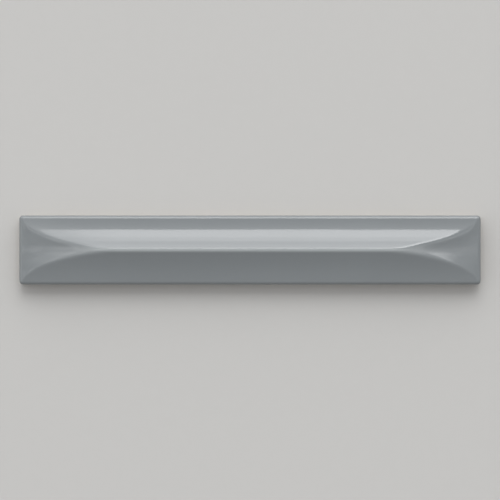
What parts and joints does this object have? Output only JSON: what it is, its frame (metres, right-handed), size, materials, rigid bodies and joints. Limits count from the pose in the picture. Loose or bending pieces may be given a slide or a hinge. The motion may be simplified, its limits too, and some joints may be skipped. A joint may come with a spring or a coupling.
{
  "type": "relief wall tile",
  "caption": "Slim rectangular glazed ceramic wall tile with a raised middle crest, hollow long faces, fan-shaped scooped ends, a rounded rim and a ribbed back.",
  "frame": {"origin": "centre of the tile's back, in the plane that lies on the wall or floor", "axes": "+X along the tile's length, +Y across its width, +Z out of the glazed face; the tile lies flat on its back"},
  "size_m": [0.147, 0.022, 0.0086],
  "materials": {
    "glazed_ceramic": "glossy blue-grey glaze on the face and rim, bare matte body on the lower sides and the back"
  },
  "bodies": {
    "root": {"tile": "glazed_ceramic"}
  },
  "joints": []
}
